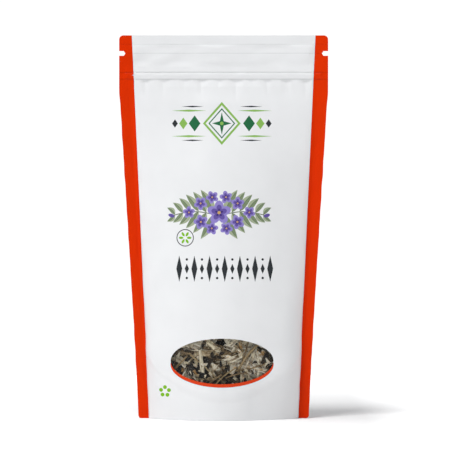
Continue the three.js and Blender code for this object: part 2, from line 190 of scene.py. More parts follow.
# Soft upright folds of the front: distance across, lower and upper end, half width, height
FOLDS = [
    (-3, -30, 135, 15, 0.5), (16, -30, 150, 13, -0.5), (46, 2, 110, 11, 2.4), (-46, -30, 78, 12, 1.8),
    (38, -60, 44, 9, -1.5), (-52, -60, 60, 7, 0.8), (-3, -60, 40, 9, 1.0), (25, -60, 62, 10, -1.5),
    (-30, 90, 215, 16, 0.4), (26, 150, 225, 18, -0.5), (47, 120, 200, 9, -0.5), (-50, 100, 190, 9, -0.4),
]
FOLD_RISE, FOLD_FALL = 30, 40  # how fast they grow at their lower end and end at the upper one
BODY_TOP, BODY_FADE = 225.0, 14.0  # the dents and crumples end here, under the zipper
ZIP_TOP = 250.0
ZIP_STEP = 243.4
# How far the film stands out over the zipper: height, reach
ZIP_RIDGES = [
    (242.7, 0.0), (243.3, 0.1), (244.2, 0.55), (246.3, 0.9), (247.5, 0.75), (248.2, 0.2), (248.9, 0.5),
    (250.4, 0.3), (253.0, 0.0),
]
ZIP_GROOVE = 248.3
ZIP_REACH = 69.5  # half of the zipper's length
TEAR_LINE = 262.0
TOP_SEAL = 268.3
# Puckers that hang from the zipper: distance along the film, width, depth
PUCKERS = [
    (-56, 8, 0.9), (-43, 9, 0.7), (-28, 8, 0.5), (-16, 9, 0.8), (-3, 7, 0.5), (9, 11, 0.8), (20, 7, 0.5),
    (31, 8, 0.8), (45, 10, 0.8), (59, 9, 1.0),
]


def swelling(reach, height, rise, fall):
    return height * smooth(reach / rise) * (1 - smooth((reach - rise) / fall))


def groove(z, centre, half_width):
    return np.clip(1 - np.abs(z - centre) / half_width, 0, 1) ** 1.3


def waves(along, z, size, seed):
    """Smooth noise from -1 to 1 over a film, with features of a size in millimetres."""
    return np.array([noise.noise((a / size, b / size, seed)) for a, b in zip(along, z)])


def edge_noise(distance, z, apart, size, seed):
    """Noise along the height, with another run of it on the right than on the left."""
    run = np.where(distance > 0, apart, 0.0)
    return np.array([noise.noise((a, b / size, seed)) for a, b in zip(run, z)])


def in_side_seal(along):
    return smooth((along - SEAL_START) / SEAL_BLEND)


def pinch(along, z):
    """How far a film lies inside the CAD film's place: it is pinched in the seals, and stands
    out by a layer where the gusset lies behind it."""
    sealed = np.maximum(in_side_seal(along), smooth((z - TOP_SEAL + 1.5) / 3))
    closing = lerp(ROOM_CLOSE_MIDDLE, ROOM_CLOSE_SIDE, near_side(along))
    room = 1 - smooth((z - seal_arc(along) - 2) / closing)
    return SEAL_PINCH * sealed + LOWER_PINCH * in_side_seal(along) * room - LAYER * room


def folds(distance, z):
    made = np.zeros_like(z)
    for place, low, high, half_width, height in FOLDS:
        ends = smooth((z - low) / FOLD_RISE) * (1 - smooth((z - high + FOLD_FALL) / FOLD_FALL))
        made += height * ends * np.exp(-(((distance - place) / half_width) ** 2))
    return made


def relief(side, distance, z):
    """What stands out of the plain bulge: zipper, seal lines, dents, swellings and folds."""
    along = np.abs(distance)
    open_film = 1 - in_side_seal(along)
    body = 1 - smooth((z - BODY_TOP) / BODY_FADE)

    # The zipper's ridges wander a little and end in the side seals
    fade = 1 - smooth((along - ZIP_REACH) / 2.5)
    drift = 0.35 * waves(distance, z * 0, 40, 3.0 + side)
    ridges = np.interp(z + drift * (z < 246), *zip(*ZIP_RIDGES))
    made = fade * ridges * (1 + 0.3 * waves(distance, z * 2.5, 6, 31.0))
    made -= 0.14 * groove(z, TEAR_LINE, 0.6)
    made -= 0.16 * groove(z, TOP_SEAL, 0.9)

    # The filling dents the film, in large and in small
    made += 0.5 * body * open_film * waves(distance * 1.3, z * 0.5, 26, 11.0 + side)
    made += 0.1 * body * open_film * waves(distance, z, 9, 15.0 + side)

    profile = np.clip(1 - (along / HALF_SPAN) ** 2, 0, 1)
    made += profile * swelling(ZIP_STEP - z, *SHOULDER)
    above_arc = z - seal_arc(along)
    middle = 1 - near_side(along)
    made += middle * swelling(above_arc, *ARC_ROLL)
    made -= np.clip(-SKIRT_LEAN * above_arc, 0, SKIRT_LIMIT) * middle
    made += swelling(HALF_SPAN - along, *SEAL_ROLL) * bulge_angle(z) / BULGE_ANGLE
    made += folds(distance if side == FRONT else -0.8 * distance, z) * open_film

    beside_seal = smooth((along - 57) / 5) * (1 - smooth((along - 71) / 3))
    crumple = waves(distance * 1.2, z * 0.55, 5.5, 23.0 + side)
    made += SEAL_CRUMPLE * beside_seal * body * crumple
    return made - pinch(along, z)


def sway(distance, z):
    """How far both films move back together: rippled side seals, puckers under the zipper and
    slanting waves above it."""
    share = in_side_seal(np.abs(distance))
    ripple = edge_noise(distance, z, 5.0, 19, 2.0)
    made = share * 0.7 * ripple - SEAL_CURL * np.clip(np.abs(distance) - 66, 0, None)
    for centre, width, depth in PUCKERS:
        hang = 1 - (ZIP_STEP - 0.6 - z) / (2.2 * width)
        shape = smooth(hang) * smooth((ZIP_STEP + 0.4 - z) / 2.2)
        made += depth * shape * smooth(1.15 * hang - np.abs(distance - centre) / (width / 2))
    head = smooth((z - ZIP_TOP - 2) / 4) * (1 - smooth((z - TOP_SEAL + 2) / 3))
    streaks = waves(distance * 0.41 + z * 0.19, z * 1.1 - distance * 0.51, 14, 7.0)
    return made + HEAD_STREAKS * head * (1 - share) * streaks


def painted_pucker_shade(distance, z):
    """Painted shade in scallops right under the zipper, where the puckers would shade the film, from 0 to
    1.
    """
    made = np.zeros_like(z)
    for centre, width, depth in PUCKERS:
        reach = 0.8 + 2.6 * depth * np.clip(1 - (2 * (distance - centre) / width) ** 2, 0, 1)
        inside = smooth((z - ZIP_STEP + reach) / 0.9) * (z < ZIP_STEP)
        made = np.maximum(made, inside * (np.abs(distance - centre) < width / 2))
    return made


def edge_wave(distance, z):
    """How far the side seals wander across."""
    share = smooth((np.abs(distance) - 60) / 12)
    wave = edge_noise(distance, z, 9.0, 9, 5.0)
    return 0.3 * share * wave * smooth((z - 4) / 12) * (1 - smooth((z - BODY_TOP) / 12))


def plain_film(side, distance, z):
    along = np.abs(distance)
    slack = 1 - SLACK * smooth((z - SLACK_START) / SLACK_REACH)
    x = np.sign(distance) * film_across(along, z) + edge_wave(distance, z)
    y = side * (GAP / 2 + FILM + slack * bulge_at(along, z)) + sway(distance, z)
    return np.stack([x, y, z], axis=1)


def steps_over(surface, distance, z, reach):
    """Steps across and up a surface that is given as a function of distance and height."""
    across = surface(distance + reach, z) - surface(distance - reach, z)
    return across, surface(distance, z + reach) - surface(distance, z - reach)


def unit(vectors):
    return vectors / np.linalg.norm(vectors, axis=1, keepdims=True)


def normals_of(surface, distance, z, reach=0.2):
    return unit(np.cross(*steps_over(surface, distance, z, reach)))


def film_skin(side, depth=0.0):
    """One skin of a panel at a depth inside its outer face, as a function of place."""

    def surface(distance, z):
        outward = -side * normals_of(partial(plain_film, side), distance, z)
        inset = depth(distance, z) if callable(depth) else depth
        return plain_film(side, distance, z) + outward * (relief(side, distance, z) - inset)[:, None]

    return surface


# Meshes


def add_object(name, data):
    made = bpy.data.objects.new(name, data)
    bpy.context.scene.collection.objects.link(made)
    return made


def mesh_object(name, points, faces, materials, inks=None, normals=None, flat_from=None):
    """A piece of the pouch from points in millimetres. inks are the faces' material numbers and
    normals are one for each point. The faces from flat_from on are flat."""
    mesh = bpy.data.meshes.new(name)
    mesh.from_pydata((np.asarray(points) * MM).tolist(), [], [list(map(int, f)) for f in faces])
    for material in materials:
        mesh.materials.append(material)
    if inks is not None:
        mesh.polygons.foreach_set("material_index", np.asarray(inks, dtype=np.int32))
    flat_from = len(faces) if flat_from is None else flat_from
    mesh.polygons.foreach_set("use_smooth", np.arange(len(faces)) < flat_from)
    mesh.update()
    if normals is not None:
        corners = np.empty(len(mesh.loops), np.int32)
        mesh.loops.foreach_get("vertex_index", corners)
        corner_normals = np.asarray(normals)[corners]
        for polygon in mesh.polygons[flat_from:]:
            corner_normals[list(polygon.loop_indices)] = polygon.normal
        mesh.normals_split_custom_set(corner_normals.tolist())
    return add_object(name, mesh)


def point_attribute(made, name, kind, values):
    layer = made.data.attributes.new(name, kind, "POINT")
    layer.data.foreach_set("vector" if kind == "FLOAT_VECTOR" else "value", np.ravel(values))


def sheet_faces(rows, columns):
    """Faces of a closed sheet whose two skins are grids of points, along their columns first:
    those of the skins, and those of the rim between them."""
    index = np.arange(rows * columns).reshape(rows, columns)
    quads = np.stack([index[:-1, :-1], index[:-1, 1:], index[1:, 1:], index[1:, :-1]], axis=-1)
    quads = quads.reshape(-1, 4)
    rim = np.concatenate([index[0], index[1:, -1], index[-1, -2::-1], index[-2:0:-1, 0]])
    ahead = np.roll(rim, -1)
    skins = np.concatenate([quads, quads[:, ::-1] + index.size])
    return skins, np.stack([ahead, rim, rim + index.size, ahead + index.size], axis=1)


def tube_faces(rings, corners):
    """Quads round a tube of rings that have this many corners."""
    corner = np.arange(corners)
    ahead = (corner + 1) % corners
    ring = np.arange(rings - 1)[:, None] * corners
    following = ring + corners
    quads = [ring + corner, ring + ahead, following + ahead, following + corner]
    return np.stack(quads, axis=-1).reshape(-1, 4)


# Materials

# Colours of the dried sage, by tone; the near-black low end serves the dark leaves' painted shade
LEAF_TONES = [
    (0.0, "#0A0705"), (0.2, "#281D12"), (0.32, "#6A5538"), (0.44, "#B39D78"),
    (0.6, "#E8D9BA"), (0.9, "#FBF3E2"), (1.0, "#DBAA68"),
]
STEM_TONES = [(0.0, "#6B5538"), (0.45, "#9A7F55"), (0.75, "#B99D6E"), (1.0, "#A9A083")]
# The dust's near-black tones are partly crumbs and partly painted shade for the heap's dark middle.
DUST_AND_SHADE_TONES = [(0.25, "#0C0A07"), (0.55, "#1C1710"), (0.8, "#322A1D")]


def srgb(code):
    """A colour from its hexadecimal code, as linear light."""
    values = [int(code[i : i + 2], 16) / 255 for i in (1, 3, 5)]
    linear = [v / 12.92 if v <= 0.04045 else ((v + 0.055) / 1.055) ** 2.4 for v in values]
    return (*linear, 1.0)


def set_inputs(tree, shader, inputs):
    """Links each input whose value comes from a node, and sets the others."""
    for name, value in inputs.items():
        if isinstance(value, bpy.types.NodeSocket):
            tree.links.new(value, shader.inputs[name])
        else:
            shader.inputs[name].default_value = value


def node(tree, kind, inputs=None, **settings):
    made = tree.nodes.new(kind)
    for name, value in settings.items():
        setattr(made, name, value)
    set_inputs(tree, made, inputs or {})
    return made


def maths(tree, operation, *values):
    return node(tree, "ShaderNodeMath", dict(enumerate(values)), operation=operation).outputs[0]


def attribute(tree, name, output):
    return node(tree, "ShaderNodeAttribute", attribute_name=name).outputs[output]


def axes(tree, vector):
    return node(tree, "ShaderNodeSeparateXYZ", {"Vector": vector}).outputs


def stretched(tree, vector, scale):
    return node(tree, "ShaderNodeMapping", {"Vector": vector, "Scale": scale}).outputs[0]


def new_material(name):
    material = bpy.data.materials.new(name)
    material.use_nodes = True
    tree = material.node_tree
    place = node(tree, "ShaderNodeTexCoord").outputs["Object"]
    return material, tree, tree.nodes["Principled BSDF"], place


def texture(tree, place, scale, detail=3.0, roughness=0.5):
    """Noise whose features are about 1 / scale metres wide."""
    inputs = {"Vector": place, "Scale": scale, "Detail": detail, "Roughness": roughness}
    return node(tree, "ShaderNodeTexNoise", inputs).outputs["Fac"]


def between(tree, value, low, high, to_low, to_high):
    inputs = {"Value": value, "From Min": low, "From Max": high, "To Min": to_low, "To Max": to_high}
    return node(tree, "ShaderNodeMapRange", inputs).outputs["Result"]


def mixed(tree, factor, first, second, blend="MIX"):
    inputs = {0: factor, 6: first, 7: second}
    return node(tree, "ShaderNodeMix", inputs, data_type="RGBA", blend_type=blend).outputs[2]


def bumped(tree, height, strength, distance, below=None):
    inputs = {"Height": height, "Strength": strength, "Distance": distance}
    if below is not None:
        inputs["Normal"] = below
    return node(tree, "ShaderNodeBump", inputs).outputs["Normal"]


def colour_ramp(tree, value, stops):
    made = node(tree, "ShaderNodeValToRGB", {"Fac": value})
    ramp = made.color_ramp
    while len(ramp.elements) < len(stops):
        ramp.elements.new(0.5)
    for element, (position, code) in zip(ramp.elements, stops):
        element.position = position
        element.color = srgb(code)
    return made.outputs["Color"]


def shade(colour, factor):
    return (*[c * factor for c in colour[:3]], 1.0)


def film_material(name, colour, gloss=0.05):
    """Satin printed film: faint clouding, a soft orange-peel and a fine grain. Its creases are
    darkened with painted shade."""
    material, tree, shader, place = new_material(name)
    clouds = texture(tree, place, 45.0)
    peel = texture(tree, place, 330.0, detail=2.0)
    grain = texture(tree, place, 2600.0, detail=1.0)
    tint = mixed(tree, between(tree, clouds, 0.3, 0.7, 0.0, 1.0), shade(colour, 0.965), colour)
    set_inputs(tree, shader, {
        # painted shade: the colour is darkened where the attribute marks creases and grooves
        "Base Color": mixed(tree, attribute(tree, "painted_shade", "Fac"), tint, shade(colour, 0.62)),
        "Roughness": between(tree, peel, 0.3, 0.7, 0.36, 0.46),
        "Normal": bumped(tree, grain, 0.08, 0.00002, bumped(tree, peel, 0.16, 0.00012)),
        "Specular IOR Level": gloss,
    })
    return material


def clear_film_material():
    """Clear film: it shows the leaves through a faint veil and keeps its own gloss."""
    material, tree, shader, place = new_material("clear_film")
    ripple = texture(tree, place, 120.0, detail=2.0)
    set_inputs(tree, shader, {
        "Base Color": srgb("#D5DADB"),
        "Roughness": between(tree, ripple, 0.3, 0.7, 0.1, 0.2),
        "Normal": bumped(tree, ripple, 0.1, 0.0004),
    })
    clear = node(tree, "ShaderNodeBsdfTransparent", {"Color": (0.96, 0.97, 0.97, 1.0)})
    facing = node(tree, "ShaderNodeLayerWeight", {"Blend": 0.25}).outputs["Facing"]
    share = between(tree, facing, 0.0, 1.0, 0.006, 0.15)
    both = node(tree, "ShaderNodeMixShader", {0: share, 1: clear.outputs[0], 2: shader.outputs[0]})
    tree.links.new(both.outputs[0], tree.nodes["Material Output"].inputs["Surface"])
    return material


def zipper_material():
    """Milky polyethylene with fine lines along its length, as it was drawn."""
    material, tree, shader, place = new_material("milky_polyethylene")
    lines = texture(tree, stretched(tree, place, (20.0, 900.0, 900.0)), 1.0)
    set_inputs(tree, shader, {
        "Base Color": mixed(tree, texture(tree, place, 160.0), srgb("#DDE4E8"), srgb("#F2F5F6")),
        "Roughness": between(tree, lines, 0.3, 0.7, 0.38, 0.55),
        "Normal": bumped(tree, lines, 0.25, 0.00005),
        "Subsurface Weight": 0.25,
        "Subsurface Scale": 0.001,
    })
    return material


def leaf_material():
    """Dried sage leaf: a downy, pebbled and wrinkled skin with a pale midrib and side veins, and
    painted shade in the hollows of its wrinkles and pebbles. leaf_place holds each point's place
    along and across its leaf, and the leaf's tone."""
    material, tree, shader, place = new_material("dried_leaf")
    spot = attribute(tree, "leaf_place", "Vector")
    along, across, own_tone = axes(tree, spot)
    clouds = texture(tree, place, 420.0)
    tone = maths(tree, "ADD", own_tone, between(tree, clouds, 0.3, 0.7, -0.09, 0.09))
    base = colour_ramp(tree, tone, LEAF_TONES)
    away = maths(tree, "ABSOLUTE", across)
    midrib = between(tree, away, 0.03, 0.12, 1.0, 0.0)
    slant = maths(tree, "MULTIPLY_ADD", away, -2.6, along)
    swing = maths(tree, "SINE", maths(tree, "MULTIPLY", slant, 3.4))
    veins = maths(tree, "MAXIMUM", midrib, between(tree, swing, 0.72, 1.0, 0.0, 0.75))
    pebbles = node(tree, "ShaderNodeTexVoronoi", {"Vector": place, "Scale": 1500.0}).outputs["Distance"]
    wrinkles = texture(tree, stretched(tree, spot, (0.22, 2.4, 7.0)), 1.0, detail=2.0)
    paler = maths(tree, "MULTIPLY", veins, own_tone)
    base = mixed(tree, between(tree, paler, 0.05, 0.8, 0.0, 0.5), base, srgb("#CDC4A7"))
    # painted shade: the wrinkles' valleys are darkened brown
    base = mixed(tree, between(tree, wrinkles, 0.48, 0.62, 0.0, 0.75), base, srgb("#8A6C4C"), "MULTIPLY")
    # painted shade: the sunken edges between the pebbles are darker
    base = mixed(tree, between(tree, pebbles, 0.25, 0.8, 0.0, 0.2), base, srgb("#6A6048"), "MULTIPLY")
    normal = bumped(tree, veins, 0.6, 0.00025)
    normal = bumped(tree, wrinkles, -0.6, 0.0006, normal)
    set_inputs(tree, shader, {
        "Base Color": base,
        "Roughness": 0.85,
        "Specular IOR Level": 0.25,
        "Sheen Weight": 0.1,
        "Sheen Roughness": 0.5,
        "Normal": bumped(tree, pebbles, -0.7, 0.0002, normal),
    })
    return material


def stem_material():
    """Cut stems: tan and grey brown, with long fibres."""
    material, tree, shader, _ = new_material("dried_stem")
    spot = attribute(tree, "leaf_place", "Vector")
    fibres = texture(tree, stretched(tree, spot, (0.35, 7.0, 3.0)), 1.0, detail=4.0)
    base = colour_ramp(tree, axes(tree, spot)[2], STEM_TONES)
    set_inputs(tree, shader, {
        "Base Color": mixed(tree, between(tree, fibres, 0.35, 0.7, 0.7, 0.0), base, srgb("#5C4A33")),
        "Roughness": 0.75,
        "Normal": bumped(tree, fibres, 0.8, 0.0003),
    })
    return material


def core_material():
    """Leaf dust and crumbs behind the leaves, made near-black as painted shade for the dark there."""
    material, tree, shader, place = new_material("leaf_dust_and_painted_shade")
    lumps = texture(tree, place, 500.0, detail=6.0, roughness=0.7)
    set_inputs(tree, shader, {
        "Base Color": colour_ramp(tree, lumps, DUST_AND_SHADE_TONES),
        "Roughness": 0.95,
        "Normal": bumped(tree, lumps, 1.0, 0.0012),
    })
    return material


# Printed designs, drawn in the front view: x to the right and z up, in millimetres. Each is a
# list of (outline, ink), and a later one covers an earlier one.

INKS = {
    "white": "#EBECED", "inside": "#8F9193", "orange": "#DE3100", "hairline": "#D9EEF4",
    "leaf_green": "#8AB85A", "deep_green": "#2A6B45", "charcoal": "#34373A",
    "sage_light": "#A3AE92", "sage": "#7C8C6C", "sage_dark": "#56684C",
    "violet_light": "#9184C8", "violet": "#66569F", "violet_dark": "#463A78",
    "tan": "#C8A36B", "rim": "#D84420", "bright_green": "#7DB928",
}


def turned(points, x, z, angle=0.0):
    c, s = math.cos(angle), math.sin(angle)
    return [(x + a * c - b * s, z + a * s + b * c) for a, b in points]


def oval(x, z, rx, rz, count=16, angle=0.0):
    ring = [2 * math.pi * i / count for i in range(count)]
    return turned([(rx * math.cos(t), rz * math.sin(t)) for t in ring], x, z, angle)


def round_place(x, z, radius, t):
    return x + radius * math.cos(t), z + radius * math.sin(t)


def lozenge(x, z, rx, rz):
    return [(x + rx, z), (x, z + rz), (x - rx, z), (x, z - rz)]


def star(x, z, rx, rz, waist=0.28):
    """A four-pointed star."""
    points = []
    for i in range(8):
        share = 1.0 if i % 2 == 0 else waist
        t = math.pi * i / 4
        points.append((x + share * rx * math.cos(t), z + share * rz * math.sin(t)))
    return points


def leaf(root, tip, half_width, bow, inks):
    """A printed leaf in two tones with its midrib. bow is how far it bends aside."""
    run = (tip[0] - root[0], tip[1] - root[1])
    length = math.hypot(*run)
    way = (run[0] / length, run[1] / length)
    aside = (-way[1], way[0])

    def at(t, off):
        lean = bow * math.sin(math.pi * t) + off
        return (root[0] + t * run[0] + lean * aside[0], root[1] + t * run[1] + lean * aside[1])

    ts = [i / 8 for i in range(9)]
    breadth = [half_width * math.sin(math.pi * t**0.85) ** 0.9 for t in ts]
    made = []
    for side, ink in zip((1, -1), inks):
        edge = [at(t, side * w) for t, w in zip(ts, breadth)]
        middle = [at(t, 0) for t in reversed(ts[1:-1])]
        made.append((edge + middle, ink))
    rib = [at(t, 0.16) for t in ts[:-1]] + [at(t, -0.16) for t in reversed(ts[:-1])]
    return made + [(rib, "sage_dark")]


def blossom(x, z, radius, turn):
    """Five petals in two violets round a tan middle."""
    made = []
    petals = [(0.5, 0.56, "violet_light"), (0.3, 0.4, "violet"), (0.12, 0.24, "violet_dark")]
    for size, reach, ink in petals:
        for i in range(5):
            t = turn + 2 * math.pi * i / 5
            centre = round_place(x, z, reach * radius, t)
            made.append((oval(*centre, size * radius, size * radius * 0.78, 12, t), ink))
    return made + [(oval(x, z, 0.15 * radius, 0.15 * radius, 8), "tan")]


def crest():
    """Lozenges and tapered rules, in greens."""
    x, z = -1.3, 211.5
    made = [(lozenge(x, z, 13.5, 15.5), "leaf_green"), (lozenge(x, z, 11.6, 13.2), "white")]
    made += [(lozenge(x, z, 9.6, 11.0), "deep_green"), (lozenge(x, z, 8.6, 9.8), "white")]
    made += [(star(x, z, 7.0, 8.2), "deep_green"), (oval(x, z, 1.3, 1.3, 12), "leaf_green")]
    for side in (-1, 1):
        made.append((lozenge(x + side * 19.5, z, 4.2, 5.8), "deep_green"))
        made.append((lozenge(x + side * 27.6, z, 3.0, 4.2), "leaf_green"))
        made.append((lozenge(x + side * 33.6, z, 2.1, 3.0), "charcoal"))
        for up in (-1, 1):
            made.append((lozenge(x + side * 23.5, z + up * 9.2, 12.5, 0.75), "leaf_green"))
            made.append((lozenge(x + side * 21.0, z + up * 12.2, 8.0, 0.55), "charcoal"))
    return made


def garland():
    """A level sprig that is the same to both sides: slender leaves, blossoms and buds."""
    x, z = -3.2, 146.5
    made = []
    for side in (-1, 1):

        def stem_place(s):
            return x + side * s, z - 1.2 + 3.2 * math.sin(s / 11)

        stem = [stem_place(s) for s in range(4, 35, 3)]
        made.append((stem + [(a, b - 0.6) for a, b in reversed(stem)], "sage_dark"))
        for i in range(6):
            root = stem_place(3.5 + 5.6 * i)
            for up in (-1, 1):
                length = 20.0 - 2.5 * i
                lean = 0.5 + 0.07 * i
                tip = (root[0] + side * length * math.sin(lean), root[1] + up * length * math.cos(lean))
                inks = ("sage_light", "sage") if up * side > 0 else ("sage", "sage_light")
                made += leaf(root, tip, 3.1 - 0.28 * i, side * up * 1.0, inks)
        made.append((oval(*stem_place(34.0), 2.4, 1.3, 10, side * 0.3), "violet"))
        for along, above, radius, turn in (
            (21.5, 1.2, 4.2, 0.9), (13.2, 7.6, 4.6, 0.3), (13.0, -5.6, 5.0, 0.7), (5.2, -10.2, 4.4, 1.1),
            (4.9, 12.0, 4.4, 0.5),
        ):
            made += blossom(x + side * along, z + above, radius, turn * side)
    return made + blossom(x, z + 1.0, 8.2, math.pi / 2)


def title_band():
    """A band of upright lozenges with dots between them."""
    x, z, pitch = 0.8, 107.6, 5.4
    made = []
    for i in range(-6, 7):
        tall = i % 2 == 0
        made.append((lozenge(x + i * pitch, z, 2.1 if tall else 1.5, 9.4 if tall else 3.6), "charcoal"))
        if not tall:
            for up in (-1, 1):
                made.append((oval(x + i * pitch, z + up * 6.6, 0.9, 0.9, 8), "charcoal"))
    return made


def small_marks():
    """A ringed rosette, and a cluster of green dots low down."""
    x, z = -27.4, 129.6
    made = [(oval(x, z, 6.2, 6.2, 28), "charcoal"), (oval(x, z, 5.6, 5.6, 28), "white")]
    for i in range(6):
        t = math.pi * i / 3
        made.append((oval(*round_place(x, z, 2.9, t), 1.7, 0.85, 10, t), "bright_green"))
    for i in range(5):
        dot = round_place(-41.8, 20.2, 3.0, math.pi / 2 + 2 * math.pi * i / 5)
        made.append((oval(*dot, 1.4, 1.4, 12), "bright_green"))
    return made


# The printed side bands end at lines that are straight in the front view
BAND_TOP = 66.0
BAND_FLOOR = 53.2
HAIRLINE = 0.5
RIM_DROP = 2.4  # the orange rim under the window is the window's oval moved down by this


def front_to_film(points):
    """Front view places as places on the front film."""
    target = np.array(points, float)
    aim = target.copy()
    skin = film_skin(FRONT)
    for _ in range(3):
        aim += target - skin(film_distance(*aim.T), aim[:, 1])[:, ::2]
    return list(zip(film_distance(*aim.T), aim[:, 1]))


def side_bands():
    heights = np.linspace(-6, HEIGHT + 6, 48)
    made = []
    for side in (-1, 1):
        for extra, ink in ((-HAIRLINE, "hairline"), (0.0, "orange")):
            reach = lerp(BAND_FLOOR, BAND_TOP, heights / HEIGHT) + extra
            inner = front_to_film(np.stack([side * reach, np.clip(heights, 0, HEIGHT)], axis=1))
            inner = [(d, z) for (d, _), z in zip(inner, heights)]
            outer = [(side * (HALF_WIDTH + 8), z) for z in (heights[-1], heights[0])]
            made.append((inner + outer, ink))
    return made


def window_oval(drop=0.0, grow=0.0, count=120):
    reach = (WINDOW_HALF_WIDTH + grow, WINDOW_HALF_HEIGHT + grow)
    return front_to_film(oval(WINDOW_ASIDE, WINDOW_CENTRE - drop, *reach, count))


def front_zones():
    zones = side_bands()
    zones.append((window_oval(RIM_DROP + 0.35, 0.35), "hairline"))
    zones.append((window_oval(RIM_DROP), "rim"))
    for outline, ink in crest() + garland() + title_band() + small_marks():
        zones.append((front_to_film(outline), ink))
    return zones


# Film panels, triangulated flat as (distance, z) and then laid on their surface


def panel_outline():
    """The panel's cut edge with its rounded corners and tear notches."""

    def corner(z, radius, start):
        ts = np.linspace(start, start + math.pi / 2, 7)
        return [(HALF_WIDTH - radius + radius * math.cos(t), z + radius * math.sin(t)) for t in ts]

    point = HALF_WIDTH - NOTCH_DEPTH
    shoulder = point + NOTCH_POINT
    low, high = NOTCH_HEIGHT - NOTCH_HALF, NOTCH_HEIGHT + NOTCH_HALF
    right = corner(CORNER_BOTTOM, CORNER_BOTTOM, -math.pi / 2)
    right += [(HALF_WIDTH, z) for z in np.linspace(CORNER_BOTTOM, low, 100)[1:]]
    right += [(shoulder, low), (point, NOTCH_HEIGHT), (shoulder, high)]
    right += [(HALF_WIDTH, z) for z in np.linspace(high, HEIGHT - CORNER_TOP, 5)[:-1]]
    right += corner(HEIGHT - CORNER_TOP, CORNER_TOP, 0)
    top = [(d, HEIGHT) for d in np.linspace(right[-1][0], -right[-1][0], 56)[1:-1]]
    left = [(-d, z) for d, z in reversed(right)]
    bottom = [(d, 0.0) for d in np.linspace(left[-1][0], -left[-1][0], 56)[1:-1]]
    return right + top + left + bottom


def grid_lines(start, *stretches):
    """Grid values from a start through stretches that are given as (end, step)."""
    values = [start]
    for end, step in stretches:
        count = max(1, round((end - values[-1]) / step))
        values += list(np.linspace(values[-1], end, count + 1)[1:])
    return values


ROW_LINES = grid_lines(
    0.6, (60, 2.5), (228, 4), (241, 1), (250, 0.35), (253, 0.75), (261, 2), (263.4, 0.3), (267, 1.8),
    (270, 0.4), (274.4, 1.6),
)
RIGHT_COLUMNS = grid_lines(0.0, (60, 2.5), (66, 1.5), (70.5, 0.5), (74.4, 1.3))
COLUMNS = np.array([-d for d in RIGHT_COLUMNS[:0:-1]] + RIGHT_COLUMNS)
ARC_ROWS = (-2.2, -1.0, 0.0, 0.9, 1.8, 2.7, 3.6, 4.5, 6.0)


def film_grid():
    """Grid points over a panel, closer together along the gusset's curved seal."""
    places = list(zip(COLUMNS, seal_arc(np.abs(COLUMNS))))
    low, high = ARC_ROWS[0], ARC_ROWS[-1]
    made = [(d, z) for z in ROW_LINES for d, arc in places if not low < z - arc < high]
    return made + [(d, arc + offset) for offset in ARC_ROWS for d, arc in places]


def counter_clockwise(points):
    following = points[1:] + points[:1]
    area = sum(a[0] * b[1] - b[0] * a[1] for a, b in zip(points, following))
    return points if area > 0 else points[::-1]


def inked_triangles(outline, window, zones, base):
    """A flat film cut into triangles: the places of its points, each triangle's points and its
    ink. A zone covers those before it."""
    loops = [outline] + ([window] if window else []) + [points for points, _ in zones]
    first_zone = len(loops) - len(zones)
    places, loop_faces = [], []
    for loop in loops:
        loop_faces.append(list(range(len(places), len(places) + len(loop))))
        places += counter_clockwise([tuple(map(float, p)) for p in loop])
    places = [Vector(p) for p in places + film_grid()]
    points, _, triangles, _, _, origins = delaunay_2d_cdt(places, [], loop_faces, 0, 1e-5)
    kept, inks = [], []
    for triangle, sources in zip(triangles, origins):
        if 0 not in sources or (window and 1 in sources):
            continue
        top = max(sources)
        kept.append(triangle)
        inks.append(zones[top - first_zone][1] if top >= first_zone else base)
    used, kept = np.unique(np.array(kept), return_inverse=True)
    return np.array([tuple(p) for p in points])[used].T, kept.reshape(-1, 3), inks


def border_edges(triangles, inks):
    """The edges that only one triangle has, each with its triangle's ink."""
    edges = {}
    for ink, triangle in zip(inks, triangles.tolist()):
        for a, b in zip(triangle, triangle[1:] + triangle[:1]):
            edges[(a, b)] = ink
    return {edge: ink for edge, ink in edges.items() if edge[::-1] not in edges}


def painted_crease_shade(distance, z):
    """Painted shade: how much darker the film's colour is made along its creases, seal lines and
    zipper grooves, and under the puckers, from 0 to 1.
    """
    made = 0.55 * groove(z, TEAR_LINE, 0.55) + 0.3 * groove(z, TOP_SEAL, 0.8)
    made += 0.7 * groove(z, ZIP_GROOVE, 0.8) + 0.75 * groove(z, ZIP_STEP, 0.8)
    made += 0.12 * groove(np.abs(distance), HALF_SPAN, 0.7) * (z < ZIP_STEP)
    made += 0.24 * painted_pucker_shade(distance, z)
    return made * (0.75 + 0.25 * waves(distance, z, 7, 1.0))


def film_sheet(name, side, outline, zones=(), window=None, base="white", outer=0.0, inner=SKIN):
    """A closed film with an outer and an inner skin. zones are (outline, ink), over the base."""
    (distance, z), triangles, inks = inked_triangles(outline, window, zones, base)
    if side == BACK:
        triangles = triangles[:, ::-1]
    names = list(dict.fromkeys([base] + inks))
    inside = names.index("clear") if base == "clear" else len(names)
    names.append("inside")
    skins = [film_skin(side, depth) for depth in (outer, inner)]
    normals = normals_of(skins[0], distance, z) * -side
    count = len(z)
    border = border_edges(triangles, [names.index(ink) for ink in inks])
    faces = triangles.tolist() + (triangles[:, ::-1] + count).tolist()
    faces += [(b, a, a + count, b + count) for a, b in border]
    made = mesh_object(
        name,
        np.vstack([skin(distance, z) for skin in skins]),
        faces,
        [FILMS[ink] for ink in names],
        [names.index(ink) for ink in inks] + [inside] * len(triangles) + list(border.values()),
        np.vstack([normals, -normals]),
        flat_from=2 * len(triangles),
    )
    # painted shade for the creases, on the outer skin only
    painted_shades = painted_crease_shade(distance, z)
    point_attribute(made, "painted_shade", "FLOAT", np.concatenate([painted_shades, painted_shades * 0]))
    return made


# The bottom gusset

GUSSET_BEND = 3.5
GUSSET_SAG = 1.0
GUSSET_INSET = 0.34  # its outer face, inside the panels' outer faces


